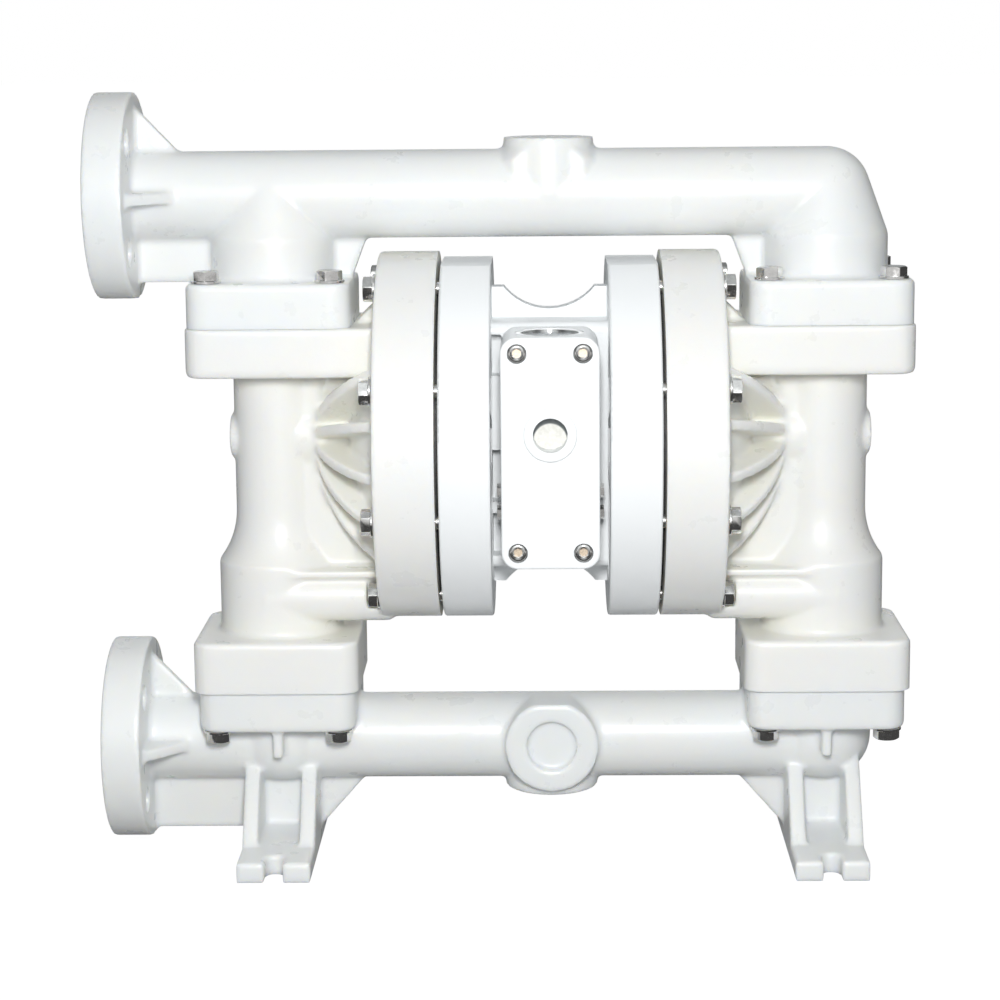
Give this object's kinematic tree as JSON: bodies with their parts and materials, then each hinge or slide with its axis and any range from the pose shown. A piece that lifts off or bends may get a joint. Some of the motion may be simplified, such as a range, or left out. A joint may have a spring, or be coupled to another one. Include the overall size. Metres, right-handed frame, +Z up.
{
  "type": "air operated diaphragm pump",
  "caption": "Double diaphragm pump with flanged manifolds, ball checks, air valve block and slotted feet, in natural plastic and white coated castings.",
  "frame": {"origin": "on the floor, midway between the two feet, in the plane of both manifolds", "axes": "+X along the pump axis away from the port flanges, +Y away from the air valve, +Z up"},
  "size_m": [0.4545, 0.207, 0.4335],
  "materials": {
    "natural_plastic": "natural translucent moulding, soft gloss",
    "coated_casting": "white baked coating, semi-gloss",
    "stainless": "bright stainless",
    "machined_aluminium": "turned",
    "fluoropolymer": "white fluoropolymer",
    "elastomer": "black moulded rubber",
    "bronze": "sintered bronze"
  },
  "bodies": {
    "casing": {"air_cap_screws": "stainless", "center_housing": "coated_casting", "discharge_bolts": "stainless", "discharge_manifold": "natural_plastic", "discharge_washers": "stainless", "flange_inserts": "stainless", "left_air_cap": "coated_casting", "left_diaphragm": "elastomer", "left_discharge_seat": "fluoropolymer", "left_fluid_cap": "natural_plastic", "left_ring_bolts": "stainless", "left_suction_seat": "fluoropolymer", "pilot_sleeve": "fluoropolymer", "retaining_rings": "stainless", "right_air_cap": "coated_casting", "right_diaphragm": "elastomer", "right_discharge_seat": "fluoropolymer", "right_fluid_cap": "natural_plastic", "right_ring_bolts": "stainless", "right_suction_seat": "fluoropolymer", "ring_inserts": "stainless", "ring_washers": "stainless", "seat_seals": "elastomer", "shaft_bushings": "bronze", "shaft_seals": "elastomer", "side_plugs": "stainless", "spool_end_caps": "machined_aluminium", "spool_seals": "elastomer", "spool_sleeve": "fluoropolymer", "suction_bolts": "stainless", "suction_manifold": "natural_plastic", "suction_washers": "stainless", "valve_block": "coated_casting", "valve_gasket": "elastomer", "valve_screws": "stainless"},
    "shaft": {"diaphragm_shaft": "stainless", "left_inner_plate": "machined_aluminium", "right_inner_plate": "machined_aluminium", "left_outer_plate": "fluoropolymer", "right_outer_plate": "fluoropolymer"},
    "pilot": {"pilot_pin": "stainless"},
    "spool": {"air_spool": "machined_aluminium"},
    "left_suction_check": {"left_suction_ball": "fluoropolymer"},
    "right_suction_check": {"right_suction_ball": "fluoropolymer"},
    "left_discharge_check": {"left_discharge_ball": "fluoropolymer"},
    "right_discharge_check": {"right_discharge_ball": "fluoropolymer"}
  },
  "joints": [
    {"name": "diaphragm_stroke", "type": "slide", "parent": "casing", "child": "shaft", "axis": [1, 0, 0], "range_m": [-0.01, 0.01], "deforming": ["left_diaphragm", "right_diaphragm"]},
    {"name": "pilot_shift", "type": "slide", "parent": "casing", "child": "pilot", "axis": [1, 0, 0], "range_m": [-0.004, 0.004]},
    {"name": "spool_shift", "type": "slide", "parent": "casing", "child": "spool", "axis": [0, 0, 1], "range_m": [0, 0.012]},
    {"name": "left_suction_lift", "type": "slide", "parent": "casing", "child": "left_suction_check", "axis": [0, 0, 1], "range_m": [0, 0.01]},
    {"name": "left_discharge_lift", "type": "slide", "parent": "casing", "child": "left_discharge_check", "axis": [0, 0, 1], "range_m": [0, 0.01]},
    {"name": "right_suction_lift", "type": "slide", "parent": "casing", "child": "right_suction_check", "axis": [0, 0, 1], "range_m": [0, 0.01]},
    {"name": "right_discharge_lift", "type": "slide", "parent": "casing", "child": "right_discharge_check", "axis": [0, 0, 1], "range_m": [0, 0.01]}
  ],
  "couplings": [
    {"joint": "pilot_shift", "follows": "diaphragm_stroke", "ratio": 0.4}
  ]
}
